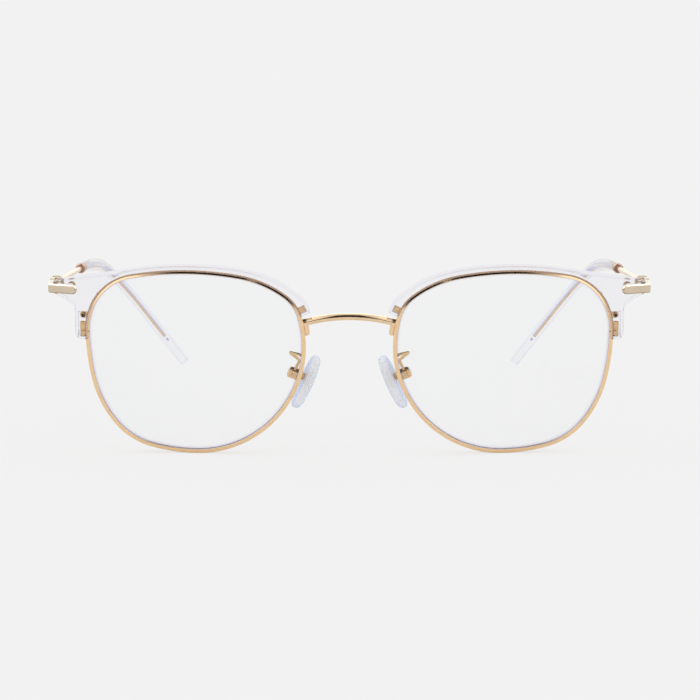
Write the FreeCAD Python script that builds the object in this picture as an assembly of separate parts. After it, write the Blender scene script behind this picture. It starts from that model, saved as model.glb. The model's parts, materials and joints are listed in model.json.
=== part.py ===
import FreeCAD, Part
import math
import os

# Browline glasses: two thin eyewires with clear lenses hang under clear brow pieces and are joined by a
# wire bridge; wire temples with clear tips fold on screwed hinges, and soft nose pads rock on wire arms.
# Millimetres. +X is the wearer's left, +Y runs back towards the ears, +Z is up.
# Everything is drawn for the left half with the front upright; the right half is its mirror image, and at
# the end the whole leans forward until rims and tips stand on one flat surface.

Vector = FreeCAD.Vector

# Lens shape, as boxed by an optician
LENS_WIDTH = 50.0
LENS_HEIGHT = 42.7
BRIDGE_GAP = 21.0
LENS_THICKNESS = 1.5
LENS_TONGUE = 0.8

# The lens shape's corner points, clockwise from the top: shares of the half width and half height,
# and the heading there in degrees in that unit box
LENS_NODES = (
    (0.063, 1.0, 0.0),
    (0.959, 0.58, -71.0),
    (1.0, 0.34, -90.0),
    (0.75, -0.69, -124.4),
    (0.0, -1.0, -180.0),
    (-0.765, -0.569, -235.3),
    (-1.0, 0.175, -270.0),
    (-0.83, 0.737, -318.5),
)

# Each half of the front lies on a sphere, centred towards the nose from the lens centre
FACE_RADIUS = 150.0
FACE_CENTRE_SHIFT = 10.5

# Eyewire
RIM_WIDTH = 0.95
RIM_DEPTH = 1.9
RIM_ROUND = 0.12
RIM_ROUND_SHARE = 0.3
RIM_SLIT = 0.2
SEAT_GAP = 0.03
SOLDER_DEPTH = 0.05
DRILL_OVERRUN = 1.0

# Brow piece
BROW_THICKNESS = 3.6
BROW_PROUD = 0.7
BROW_CROWN = 0.8
BROW_GROOVE = 0.25
BROW_FRONT_WALL = 0.8
BROW_ROUND = 0.3
BROW_LEG_REACH = 2.85
BROW_LEG_WALL = 0.7
BROW_LEG_COVER = 0.37
BROW_LEG_ROUND = 1.4
BROW_END_MARGIN = 0.2
BROW_END_HEADING = -13.0
BROW_UNDER_HEADING = -157.0
BROW_ELBOW_HEADING = -149.0
BROW_ELBOW_DROP = 3.4
BROW_ELBOW_ROUND = 0.9
BROW_TIP_WIDTH = 1.6
BROW_TIP_HEADING = -26.0
BROW_INNER_SHARE = 0.8

# The brow's upper edge from its nasal tip outwards: shares of the lens's half width from its centre and
# of its half height down from the crown, and the heading there in degrees in that unit box
BROW_NODES = (
    (-1.059, 0.496, 79.7),
    (-0.846, 0.231, 40.4),
    (-0.406, 0.0385, 11.7),
    (0.06, 0.0, 0.0),
    (0.632, 0.068, -12.8),
)

# Fixings between rim and brow, placed by their direction from the lens centre in the lens's unit box
TAB_ANGLE = 148.85
TAB_SIZE = 1.4
TAB_DEPTH = 1.1
TAB_CLEARANCE = 0.15
LUG_ANGLE = 26.0
LUG_LENGTH = 1.6
LUG_HEIGHT = 1.6
LUG_THICKNESS = 0.9
BROW_SCREW_DIAMETER = 0.9
BROW_SCREW_HEAD = 1.4
BROW_SCREW_BITE = 0.5
CLOSING_ANGLE = 17.65
CLOSING_DIAMETER = 1.3
CLOSING_SET_BACK = 1.1
CLOSING_UPPER = 1.9
CLOSING_LOWER = 0.9
CLOSING_SCREW_DIAMETER = 0.8
CLOSING_SCREW_BITE = 1.7
SCREW_HEAD_HEIGHT = 0.45
SCREW_SLOT_WIDTH = 0.28
SCREW_SLOT_DEPTH = 0.22
POCKET_CLEARANCE = 0.35

# Bridge wire
BRIDGE_DIAMETER = 1.65
BRIDGE_RISE = 1.6
BRIDGE_END_ANGLE = 156.0
BRIDGE_LEG_END_ANGLE = 163.27
BRIDGE_LEG_SEAT = 0.85
BRIDGE_LEG_DIAMETER = 1.5
BRIDGE_LEG_ROUND = 0.45

# Endpiece bar and hinge
ENDPIECE_REACH = 9.0
ENDPIECE_DROP = 5.2
BAR_LENGTH = 6.75
BAR_HEIGHT = 2.1
BAR_THICKNESS = 1.1
BAR_ROUND = 0.55
BAR_EDGE_ROUND = 0.4
ENDPIECE_SCREW_DIAMETER = 1.1
ENDPIECE_SCREW_HEAD = 1.8
ENDPIECE_SCREW_PITCH = 2.6
ENDPIECE_SCREW_BITE = 0.55
HINGE_DIAMETER = 2.6
HINGE_HEIGHT = 2.6
HINGE_DROP = 0.15
HINGE_KNUCKLE = 1.0
HINGE_SETBACK = 2.6
HINGE_ROOT = 2.3
HINGE_SCREW_DIAMETER = 1.2
HINGE_SCREW_HEAD = 1.8
RUNNING_GAP = 0.04
KNUCKLE_GAP = 0.06

# Temple: straight arm, gentle sweep of the tip, ear bend and drop along one middle line
TEMPLE_LENGTH = 140.9
TEMPLE_SWEEP_ANGLE = 6.0
TEMPLE_BEND_START = 85.4
TEMPLE_BEND_RADIUS = 37.4
TEMPLE_BEND_ANGLE = 49.2
TEMPLE_INWARD = 1.2
TEMPLE_SLOPE = 9.5
TEMPLE_ROLL = 33.6
ARM_DIAMETER = 1.3
CORE_DIAMETER = 0.95
CORE_END = 11.6
SOCKET_DIAMETER = 1.9
SOCKET_START = 2.0
SOCKET_LENGTH = 3.6
SOCKET_FLOOR = 0.8
NECK_WIDTH = 1.3
TIP_START = 51.2
TIP_MOUTH_DIAMETER = 2.4
TIP_WIDTH = 4.1
TIP_DEPTH = 2.9
TIP_SECTIONS = 14
FERRULE_DIAMETER = 2.5
FERRULE_LENGTH = 2.2
FERRULE_ROUND = 0.4

# Nose pads
PAD_LENGTH = 13.6
PAD_WIDTH = 7.0
PAD_THICKNESS = 2.4
PAD_DOME_RADIUS = 17.0
PAD_ROUND = 0.5
PAD_MOUNT_RISE = 1.0
PAD_FRONTAL_ANGLE = 24.0
PAD_SPLAY_ANGLE = 8.0
PAD_CORE_LENGTH = 5.0
PAD_CORE_WIDTH = 3.0
PAD_CORE_THICKNESS = 0.5
PAD_EYE_WIDTH = 1.5
PAD_EYE_THICKNESS = 0.9
PAD_EYE_STANDOFF = 2.5
PAD_BOX_DIAMETER = 2.7
PAD_BOX_GAP = 1.5
PAD_BOX_FLOOR = 0.7
PAD_SCREW_DIAMETER = 0.8
PAD_SCREW_HEAD = 1.2
PAD_ARM_DIAMETER = 0.7
PAD_ARM_ANGLE = 175.55
PAD_ARM_SET_BACK = 1.15
PAD_ARM_BEND = 0.75

# Middle of the pad's outer face, measured from the lens's nasal edge at the height of the lens centre
PAD_PLACE = (0.2, 10.2, -5.625)

# Corners of the pad arm after its foot, measured from that foot on the rim
PAD_ARM_CORNERS = ((1.5, 1.6, 0.1), (3.4, 4.0, -0.1), (1.0, 5.9, -2.5))

# Differences below which places count as the same and lines as straight
SAME_PLACE = 1e-4
STRAIGHT = 1e-6

# Degrees to each side of a place on the rim between which its direction is taken
SEAT_STEP = 0.5

# Places worked out from the sizes above
LENS_X = (LENS_WIDTH + BRIDGE_GAP) / 2
LENS_Z = (LENS_HEIGHT + RIM_WIDTH) / 2
PAD_CENTRE = Vector(BRIDGE_GAP / 2, 0, LENS_Z) + Vector(*PAD_PLACE)
RIM_TOP = LENS_HEIGHT + RIM_WIDTH
FACE_CENTRE = Vector(LENS_X - FACE_CENTRE_SHIFT, FACE_RADIUS, LENS_Z)
BROW_BACK = BROW_THICKNESS - BROW_PROUD
POCKET_DEPTH = BROW_FRONT_WALL - BROW_PROUD
END_X = LENS_X + LENS_WIDTH / 2 + ENDPIECE_REACH
END_Z = RIM_TOP - ENDPIECE_DROP
BROW_END_X = END_X - BAR_THICKNESS - SEAT_GAP
FRONT_LIMIT = -BROW_THICKNESS - BAR_THICKNESS
BACK_LIMIT = LENS_WIDTH
BACK = Vector(0, 1, 0)
UP = Vector(0, 0, 1)


def heading(degrees):
    """Unit direction in the front plane, counted from +X towards +Z."""
    angle = math.radians(degrees)
    return Vector(math.cos(angle), 0, math.sin(angle))


def reflected(tangent, chord):
    """Tangent at the far end of the arc that leaves along tangent and spans chord."""
    along = Vector(chord).normalize()
    return along * (2 * tangent.dot(along)) - tangent


def biarc_joint(start, end):
    """Where the two tangent arcs between a pair of stations meet."""
    first, first_tangent = start
    last, last_tangent = end
    span = last - first
    reach = span.dot(first_tangent + last_tangent)
    bend = 2 * (1 - first_tangent.dot(last_tangent))
    if bend > STRAIGHT:
        leg = (math.sqrt(reach ** 2 + bend * span.dot(span)) - reach) / bend
    else:
        leg = span.dot(span) / (2 * reach)
    joint = (first + first_tangent * leg + last - last_tangent * leg) * 0.5
    return joint, reflected(first_tangent, joint - first)


def smooth_chain(nodes, closed=False):
    """Stations, each a point and a tangent, of the arcs that pass through every node."""
    ends = nodes[1:] + nodes[:1] if closed else nodes[1:]
    stations = []
    for start, end in zip(nodes, ends):
        stations.append(start)
        stations.append(biarc_joint(start, end))
    return stations if closed else stations + [nodes[-1]]


def offset_chain(stations, distance):
    """The same arcs moved to the left of their heading, which is outwards on a clockwise outline."""
    return [(point + Vector(-tangent.z, 0, tangent.x) * distance, tangent) for point, tangent in stations]


def line(start, end):
    return Part.LineSegment(start, end).toShape()


def arc_edge(station, end):
    """One arc that leaves a station along its tangent, or a line where it runs straight."""
    start, tangent = station
    chord = end - start
    along = Vector(chord).normalize()
    lift = tangent - along * tangent.dot(along)
    if lift.Length < STRAIGHT:
        return line(start, end)
    middle = (start + end) * 0.5 + lift * (chord.Length / 2 / (1 + tangent.dot(along)))
    return Part.Arc(start, middle, end).toShape()


def chain_edges(stations, closed=False):
    ends = stations[1:] + stations[:1] if closed else stations[1:]
    return [arc_edge(start, end[0]) for start, end in zip(stations, ends)]


def prism(edges):
    """A front-plane outline carried straight through the whole depth of the front."""
    face = Part.Face(Part.Wire(edges))
    face.translate(BACK * FRONT_LIMIT)
    return face.extrude(BACK * (BACK_LIMIT - FRONT_LIMIT))


def ball(set_back):
    """Everything behind the curved surface that lies set_back behind the rim's front."""
    return Part.makeSphere(FACE_RADIUS - set_back, FACE_CENTRE, Vector(1, 0, 0))


def layer(solid, front, back):
    """The part of a prism between two curved surfaces, given as set-backs."""
    return solid.common(ball(front)).cut(ball(back))


def face_depth(x, z, set_back):
    """Depth along Y of the curved surface at one place of the front."""
    radius = FACE_RADIUS - set_back
    across = (x - FACE_CENTRE.x) ** 2 + (z - FACE_CENTRE.z) ** 2
    return FACE_RADIUS - math.sqrt(radius ** 2 - across)


def boxed_heading(degrees):
    """Unit direction in the front plane from one counted in the lens's unit box."""
    unit = heading(degrees)
    return Vector(unit.x * LENS_WIDTH, 0, unit.z * LENS_HEIGHT).normalize()


def lens_chain():
    """Stations of the lens shape, which is also the middle line of the rim."""
    nodes = []
    for across, up, turn in LENS_NODES:
        point = Vector(LENS_X + across * LENS_WIDTH / 2, 0, LENS_Z + up * LENS_HEIGHT / 2)
        nodes.append((point, boxed_heading(turn)))
    return smooth_chain(nodes, closed=True)


LENS_CHAIN = lens_chain()


def lens_prism(distance):
    return prism(chain_edges(offset_chain(LENS_CHAIN, distance), closed=True))


def lens_point(angle):
    """Point of the lens shape in one direction from the lens centre."""
    centre = Vector(LENS_X, 0, LENS_Z)
    ray = line(centre, centre + boxed_heading(angle) * (LENS_WIDTH + LENS_HEIGHT))
    outline = Part.Wire(chain_edges(LENS_CHAIN, closed=True))
    return outline.distToShape(ray)[1][0][0]


def rim_seat(angle, outward_by=0.0, set_back=RIM_DEPTH / 2):
    """Placement on the rim: X outwards, Y back, at a distance from its middle line and front."""
    along = (lens_point(angle + SEAT_STEP) - lens_point(angle - SEAT_STEP)).normalize()
    outward = Vector(along.z, 0, -along.x)
    place = lens_point(angle) + outward * outward_by
    place.y = face_depth(place.x, place.z, set_back)
    turn = FreeCAD.Rotation(outward, BACK, outward.cross(BACK), "XYZ")
    return FreeCAD.Placement(place, turn)


def seated(shape, placement):
    moved = shape.copy()
    moved.Placement = placement.multiply(moved.Placement)
    return moved


def box(low, high):
    """Axis-aligned block between two corners."""
    size = Vector(*high) - Vector(*low)
    return Part.makeBox(size.x, size.y, size.z, Vector(*low))


def rod(diameter, start, end):
    span = end - start
    return Part.makeCylinder(diameter / 2, span.Length, start, span)


def rim_envelope():
    return layer(lens_prism(RIM_WIDTH / 2), 0, RIM_DEPTH)


def on_surface(edge, set_back):
    """Whether an edge lies on one of the curved surfaces of the front."""
    ends = [vertex.Point for vertex in edge.Vertexes]
    return all(abs((end - FACE_CENTRE).Length - FACE_RADIUS + set_back) < SAME_PLACE for end in ends)


def make_rim():
    ring = rim_envelope().cut(lens_prism(-RIM_WIDTH / 2))
    edges = [edge for edge in ring.Edges if on_surface(edge, 0) or on_surface(edge, RIM_DEPTH)]
    ring = ring.makeFillet(min(RIM_ROUND, RIM_WIDTH * RIM_ROUND_SHARE), edges)
    groove_front = (RIM_DEPTH - LENS_TONGUE) / 2 - SEAT_GAP
    ring = ring.cut(layer(lens_prism(0), groove_front, RIM_DEPTH - groove_front))
    slit = box((-RIM_WIDTH, -RIM_DEPTH, -RIM_SLIT / 2), (RIM_WIDTH, RIM_DEPTH, RIM_SLIT / 2))
    return ring.cut(seated(slit, rim_seat(CLOSING_ANGLE)))


def make_lens():
    front = (RIM_DEPTH - LENS_THICKNESS) / 2
    body = layer(lens_prism(-RIM_WIDTH / 2 - SEAT_GAP), front, front + LENS_THICKNESS)
    tongue_front = (RIM_DEPTH - LENS_TONGUE) / 2
    tongue = layer(lens_prism(-SEAT_GAP), tongue_front, tongue_front + LENS_TONGUE)
    return body.fuse(tongue).removeSplitter()


def brow_leg_end():
    """Height of the leg's lower end, which hides the closing screw."""
    return closing_seat().Base.z - RIM_SLIT / 2 - CLOSING_LOWER - SCREW_HEAD_HEIGHT - BROW_LEG_COVER


def brow_edges():
    """Closed outline of the brow: nasal tip, crown, outer end, leg, and back across the lens."""
    half_width = LENS_WIDTH / 2
    half_height = LENS_HEIGHT / 2
    crown = RIM_TOP + BROW_CROWN
    leg_x = LENS_X + half_width + BROW_LEG_REACH
    leg_end = brow_leg_end()
    end_top = END_Z + BAR_HEIGHT / 2 + BROW_END_MARGIN
    end_low = END_Z - BAR_HEIGHT / 2 - BROW_END_MARGIN
    elbow = END_Z - BROW_ELBOW_DROP
    upper = []
    for across, down, turn in BROW_NODES:
        point = Vector(LENS_X + across * half_width, 0, crown - down * half_height)
        upper.append((point, boxed_heading(turn)))
    tip = upper[0][0]
    tip_low = tip + heading(BROW_TIP_HEADING) * BROW_TIP_WIDTH
    upper = smooth_chain(upper + [(Vector(BROW_END_X, 0, end_top), heading(BROW_END_HEADING))])
    corner = Vector(BROW_END_X, 0, end_low)
    lower = smooth_chain([
        (corner, heading(BROW_UNDER_HEADING)),
        (Vector(leg_x + BROW_ELBOW_ROUND, 0, elbow), heading(BROW_ELBOW_HEADING)),
        (Vector(leg_x, 0, elbow - 2 * BROW_ELBOW_ROUND), heading(-90)),
        (Vector(leg_x, 0, leg_end + BROW_LEG_ROUND), heading(-90)),
        (Vector(leg_x - BROW_LEG_ROUND, 0, leg_end), heading(-180)),
    ])
    inner_low = Vector(LENS_X + BROW_INNER_SHARE * half_width, 0, leg_end)
    inner_high = Vector(LENS_X - BROW_INNER_SHARE * half_width, 0, tip_low.z - BROW_TIP_WIDTH / 2)
    edges = [line(inner_high, tip_low), line(tip_low, tip)]
    edges += chain_edges(upper)
    edges.append(line(upper[-1][0], corner))
    edges += chain_edges(lower)
    edges += [line(lower[-1][0], inner_low), line(inner_low, inner_high)]
    return edges


def brow_pockets():
    """Room behind the brow's front wall for the rim's tab, eyelet and closing barrels."""
    room = POCKET_CLEARANCE
    depth = BROW_THICKNESS
    tab_half = TAB_SIZE / 2 + TAB_CLEARANCE
    tab_reach = RIM_WIDTH / 2 + TAB_SIZE + TAB_CLEARANCE
    tab = seated(box((-RIM_WIDTH, -depth, -tab_half), (tab_reach, depth, tab_half)), rim_seat(TAB_ANGLE))
    leg_x = LENS_X + LENS_WIDTH / 2 + BROW_LEG_REACH - BROW_LEG_WALL
    low = brow_leg_end() - depth
    high = rim_seat(LUG_ANGLE).Base.z + LUG_HEIGHT / 2 + room
    leg = box((leg_x - LUG_LENGTH - RIM_WIDTH, FRONT_LIMIT, low), (leg_x, BACK_LIMIT, high))
    return tab.fuse(leg).common(ball(POCKET_DEPTH))


def endpiece_screw_seats():
    """Placements on the brow's back, Z towards the front, for the two screws of the endpiece."""
    seats = []
    middle = (END_X - BAR_LENGTH + BROW_END_X) / 2
    for side in (-0.5, 0.5):
        x = middle + side * ENDPIECE_SCREW_PITCH
        place = Vector(x, face_depth(x, END_Z, BROW_BACK), END_Z)
        forward = (place - FACE_CENTRE).normalize()
        seats.append(FreeCAD.Placement(place, FreeCAD.Rotation(UP, forward)))
    return seats


def make_brow():
    solid = layer(prism(brow_edges()), -BROW_PROUD, BROW_BACK)
    edges = [edge for edge in solid.Edges if on_surface(edge, -BROW_PROUD) or on_surface(edge, BROW_BACK)]
    solid = solid.makeFillet(BROW_ROUND, edges)
    solid = solid.cut(lens_prism(RIM_WIDTH / 2 - BROW_GROOVE))
    solid = solid.cut(layer(lens_prism(RIM_WIDTH / 2 + SEAT_GAP), -SEAT_GAP, RIM_DEPTH + SEAT_GAP))
    solid = solid.cut(brow_pockets())
    hole_end = UP * (BROW_THICKNESS + DRILL_OVERRUN)
    hole = rod(ENDPIECE_SCREW_DIAMETER + 2 * SEAT_GAP, UP * -DRILL_OVERRUN, hole_end)
    for seat in endpiece_screw_seats():
        solid = solid.cut(seated(hole, seat))
    pilot = rod(BROW_SCREW_DIAMETER + 2 * SEAT_GAP, BACK * -brow_screw_reach(), Vector())
    return solid.cut(seated(pilot, brow_screw_seat()))


def make_brow_tab():
    half = TAB_SIZE / 2
    deep = TAB_DEPTH / 2
    block = box((RIM_WIDTH / 2, -deep, -half), (RIM_WIDTH / 2 + TAB_SIZE, deep, half))
    return seated(block, rim_seat(TAB_ANGLE)).cut(lens_prism(RIM_WIDTH / 2))


def brow_screw_seat():
    """Placement on the eyelet's axis, at the middle of its thickness."""
    return rim_seat(LUG_ANGLE, RIM_WIDTH / 2 + LUG_LENGTH - LUG_HEIGHT / 2)


def brow_screw_reach():
    """How far the brow screw runs forward from the middle of the eyelet into the brow's wall."""
    return RIM_DEPTH / 2 - POCKET_DEPTH + BROW_SCREW_BITE


def make_brow_lug():
    half = LUG_HEIGHT / 2
    thick = LUG_THICKNESS / 2
    straight = LUG_LENGTH - half
    plate = box((-straight, -thick, -half), (0, thick, half))
    plate = plate.fuse(rod(LUG_HEIGHT, BACK * -thick, BACK * thick)).removeSplitter()
    plate = plate.cut(rod(BROW_SCREW_DIAMETER + 2 * SEAT_GAP, BACK * -LUG_HEIGHT, BACK * LUG_HEIGHT))
    return seated(plate, brow_screw_seat()).cut(lens_prism(RIM_WIDTH / 2))


def slotted(head_diameter, axis, top):
    """Screwdriver slot across a screw head whose top is at that height on the axis."""
    half = SCREW_SLOT_WIDTH / 2
    slot = box((-head_diameter, -half, -SCREW_SLOT_DEPTH), (head_diameter, half, SCREW_SLOT_DEPTH))
    return seated(slot, FreeCAD.Placement(axis * top, FreeCAD.Rotation(UP, axis)))


def screw(diameter, head_diameter, length, axis):
    """Slotted screw along an axis: its head's seat is at zero and the shank runs back from it."""
    shank = rod(diameter, axis * -length, Vector())
    head = rod(head_diameter, Vector(), axis * SCREW_HEAD_HEIGHT)
    return shank.fuse(head).cut(slotted(head_diameter, axis, SCREW_HEAD_HEIGHT))


def make_brow_screw():
    thick = LUG_THICKNESS / 2
    length = brow_screw_reach() + thick - SEAT_GAP
    pin = screw(BROW_SCREW_DIAMETER, BROW_SCREW_HEAD, length, BACK)
    pin.translate(BACK * thick)
    return seated(pin, brow_screw_seat())


def closing_seat():
    return rim_seat(CLOSING_ANGLE, RIM_WIDTH / 2 + CLOSING_DIAMETER / 2, CLOSING_SET_BACK)


def closing_block(low, high):
    """One barrel of the closing block, with a flat foot against the rim."""
    half = CLOSING_DIAMETER / 2
    barrel = rod(CLOSING_DIAMETER, UP * low, UP * high)
    foot = box((-half - SOLDER_DEPTH, -half, low), (0, half, high))
    block = barrel.fuse(foot).removeSplitter()
    hole = rod(CLOSING_SCREW_DIAMETER + 2 * SEAT_GAP, UP * (low - DRILL_OVERRUN), UP * (high + DRILL_OVERRUN))
    return seated(block.cut(hole), closing_seat()).cut(lens_prism(RIM_WIDTH / 2))


def make_closing_block_upper():
    return closing_block(RIM_SLIT / 2, RIM_SLIT / 2 + CLOSING_UPPER)


def make_closing_block_lower():
    return closing_block(-RIM_SLIT / 2 - CLOSING_LOWER, -RIM_SLIT / 2)


def make_closing_screw():
    length = CLOSING_LOWER + RIM_SLIT + CLOSING_SCREW_BITE
    pin = screw(CLOSING_SCREW_DIAMETER, CLOSING_DIAMETER, length, UP * -1)
    pin.translate(UP * (-RIM_SLIT / 2 - CLOSING_LOWER))
    return seated(pin, closing_seat())


def make_bridge():
    end = rim_seat(BRIDGE_END_ANGLE).Base
    middle = Vector(0, end.y, end.z + BRIDGE_RISE)
    arch = Part.Arc(Vector(-end.x, end.y, end.z), middle, end)
    section = Part.Wire(Part.Circle(end, arch.tangent(arch.LastParameter)[0], BRIDGE_DIAMETER / 2).toShape())
    wire = Part.Wire(arch.toShape()).makePipeShell([section], True, False)
    leg_top = rim_seat(BRIDGE_END_ANGLE, BRIDGE_LEG_SEAT).Base
    leg_end = rim_seat(BRIDGE_LEG_END_ANGLE, BRIDGE_LEG_SEAT).Base
    leg = rod(BRIDGE_LEG_DIAMETER, leg_top, Vector(leg_end.x, leg_top.y, leg_end.z))
    foot = min(leg.Edges, key=lambda edge: edge.CenterOfMass.z)
    leg = leg.makeFillet(BRIDGE_LEG_ROUND, [foot])
    wire = wire.fuse([leg, mirrored(leg)]).removeSplitter()
    rim = rim_envelope()
    return wire.cut(rim).cut(mirrored(rim))


def hinge_place():
    """Middle of the hinge axis."""
    depth = face_depth(BROW_END_X, END_Z, BROW_BACK) + HINGE_SETBACK
    return Vector(END_X - HINGE_DIAMETER / 2, depth, END_Z - HINGE_DROP)


def make_endpiece():
    half = BAR_HEIGHT / 2
    hinge = hinge_place()
    inner = END_X - BAR_LENGTH
    low = END_Z - half
    high = END_Z + half
    round_high = Vector(inner + half, 0, high)
    round_low = Vector(inner + half, 0, low)
    bar_edges = [
        Part.Arc(round_high, Vector(inner, 0, END_Z), round_low).toShape(),
        line(round_low, Vector(END_X, 0, low)),
        line(Vector(END_X, 0, low), Vector(END_X, 0, high)),
        line(Vector(END_X, 0, high), round_high),
    ]
    bar = layer(prism(bar_edges), -BROW_PROUD - BAR_THICKNESS, -BROW_PROUD - SEAT_GAP)
    corner = face_depth(END_X, END_Z, -BROW_PROUD - BAR_THICKNESS / 2)
    leg = box((END_X - BAR_THICKNESS, corner, low), (END_X, hinge_root(hinge), high))
    solid = bar.fuse(leg).removeSplitter()
    outer = [edge for edge in solid.Edges if all(abs(v.X - END_X) < SAME_PLACE for v in edge.Vertexes)]
    front = min(outer, key=lambda edge: edge.CenterOfMass.y)
    solid = solid.makeFillet(BAR_ROUND, [front])
    skin = -BROW_PROUD - BAR_THICKNESS
    rims = [edge for edge in solid.Edges if on_surface(edge, skin) and not upright_edge(edge)]
    solid = solid.makeFillet(BAR_EDGE_ROUND, rims)
    solid = solid.fuse(hinge_fork(hinge)).removeSplitter()
    hole = rod(ENDPIECE_SCREW_DIAMETER + 2 * SEAT_GAP, Vector(), UP * (endpiece_screw_length() + SEAT_GAP))
    for seat in endpiece_screw_seats():
        solid = solid.cut(seated(hole, seat))
    return solid


def upright_edge(edge):
    ends = [vertex.Point for vertex in edge.Vertexes]
    return abs(ends[0].x - ends[-1].x) < SAME_PLACE and ends[0].x > END_X - BAR_LENGTH / 2


def hinge_root(hinge):
    """Depth at which the fork of the hinge grows out of the endpiece."""
    return hinge.y - HINGE_ROOT


def hinge_fork(hinge):
    """Two fixed knuckles, with the gap between them for the temple's knuckle."""
    half = HINGE_HEIGHT / 2
    radius = HINGE_DIAMETER / 2
    root = hinge_root(hinge)
    block = box((END_X - BAR_THICKNESS, root, hinge.z - half), (END_X, hinge.y, hinge.z + half))
    barrel = rod(HINGE_DIAMETER, hinge - UP * half, hinge + UP * half)
    fork = block.fuse(barrel).removeSplitter()
    gap = HINGE_KNUCKLE / 2 + KNUCKLE_GAP
    front = hinge.y - radius - 2 * KNUCKLE_GAP
    mouth_low = Vector(hinge.x - HINGE_DIAMETER, front, hinge.z - gap)
    mouth_high = Vector(hinge.x + HINGE_DIAMETER, hinge.y + HINGE_DIAMETER, hinge.z + gap)
    fork = fork.cut(box(mouth_low, mouth_high))
    above = hinge + UP * HINGE_HEIGHT
    below = hinge - UP * HINGE_HEIGHT
    head_seat = hinge + UP * (half - SCREW_HEAD_HEIGHT - SEAT_GAP)
    fork = fork.cut(rod(HINGE_SCREW_HEAD + 2 * SEAT_GAP, head_seat, above))
    return fork.cut(rod(HINGE_SCREW_DIAMETER + 2 * SEAT_GAP, below, above))


def endpiece_screw_length():
    return BROW_THICKNESS + ENDPIECE_SCREW_BITE


def make_endpiece_screws():
    pin = screw(ENDPIECE_SCREW_DIAMETER, ENDPIECE_SCREW_HEAD, endpiece_screw_length(), UP * -1)
    pin.translate(UP * -SEAT_GAP)
    return Part.makeCompound([seated(pin, seat) for seat in endpiece_screw_seats()])


def make_hinge_screw():
    hinge = hinge_place()
    pin = screw(HINGE_SCREW_DIAMETER, HINGE_SCREW_HEAD, HINGE_HEIGHT - SCREW_HEAD_HEIGHT, UP)
    pin.translate(hinge + UP * (HINGE_HEIGHT / 2 - SCREW_HEAD_HEIGHT))
    return pin


def temple_axes():
    """Unit vectors of the temple: along the straight run, and the way its ear bend turns."""
    inward = math.radians(TEMPLE_INWARD)
    slope = math.radians(TEMPLE_SLOPE)
    roll = math.radians(TEMPLE_ROLL)
    flat = Vector(-math.sin(inward), math.cos(inward), 0)
    along = flat * math.cos(slope) - UP * math.sin(slope)
    across = along.cross(UP).normalize()
    down = across.cross(along) * -1
    return along, down * math.cos(roll) - across * math.sin(roll)


TEMPLE_BEND_END = TEMPLE_BEND_START + TEMPLE_BEND_RADIUS * math.radians(TEMPLE_BEND_ANGLE)

# Bends of the temple: where each starts and ends along the middle line, and its turn
TEMPLE_BENDS = (
    (TIP_START, TEMPLE_BEND_START, math.radians(TEMPLE_SWEEP_ANGLE)),
    (TEMPLE_BEND_START, TEMPLE_BEND_END, math.radians(TEMPLE_BEND_ANGLE)),
)


def temple_station(distance):
    """Point and tangent of the temple's middle line at a distance from the hinge."""
    along, turning = temple_axes()
    point = hinge_place() + along * min(distance, TIP_START)
    turned = 0.0
    for start, end, angle in TEMPLE_BENDS:
        radius = (end - start) / angle
        after = turned + angle * min(max((distance - start) / (end - start), 0.0), 1.0)
        point += along * (radius * (math.sin(after) - math.sin(turned)))
        point += turning * (radius * (math.cos(turned) - math.cos(after)))
        turned = after
    tangent = along * math.cos(turned) + turning * math.sin(turned)
    return point + tangent * max(distance - TEMPLE_BEND_END, 0.0), tangent


def temple_side():
    """Unit vector square to the plane of the ear bend."""
    along, turning = temple_axes()
    return along.cross(turning)


def tip_size(distance):
    """Half width in the bend plane and half depth across it, at a distance from the hinge."""
    share = (distance - TIP_START) / (TEMPLE_LENGTH - TIP_START)
    swell = share * share * (3 - 2 * share)
    width = TIP_MOUTH_DIAMETER + (TIP_WIDTH - TIP_MOUTH_DIAMETER) * swell
    depth = TIP_MOUTH_DIAMETER + (TIP_DEPTH - TIP_MOUTH_DIAMETER) * swell
    return width / 2, depth / 2


# Round end of the tip: distance from its end as a share of its half width, and share of the full section
TIP_END_STEPS = ((1.5, 1.0), (0.75, 0.93), (0.3, 0.72), (0.08, 0.42), (0.0, 0.2))


def temple_wire(diameter, start, end):
    """Round wire along the temple's middle line, from before its sweep to after its ear bend."""
    edges = [line(temple_station(start)[0], temple_station(TIP_START)[0])]
    for bend_start, bend_end, angle in TEMPLE_BENDS:
        distances = (bend_start, (bend_start + bend_end) / 2, bend_end)
        edges.append(Part.Arc(*[temple_station(distance)[0] for distance in distances]).toShape())
    edges.append(line(temple_station(TEMPLE_BEND_END)[0], temple_station(end)[0]))
    point, tangent = temple_station(start)
    section = Part.Wire(Part.Circle(point, tangent, diameter / 2).toShape())
    return Part.Wire(edges).makePipeShell([section], True, False)


def make_temple_arm():
    along = temple_axes()[0]
    hinge = hinge_place()
    start = hinge + along * (SOCKET_START + SOCKET_FLOOR)
    shaft = rod(ARM_DIAMETER, start, hinge + along * (TIP_START - SEAT_GAP))
    core = temple_wire(CORE_DIAMETER, TIP_START - FERRULE_LENGTH, TEMPLE_LENGTH - CORE_END)
    return shaft.fuse(core).removeSplitter()


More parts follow.
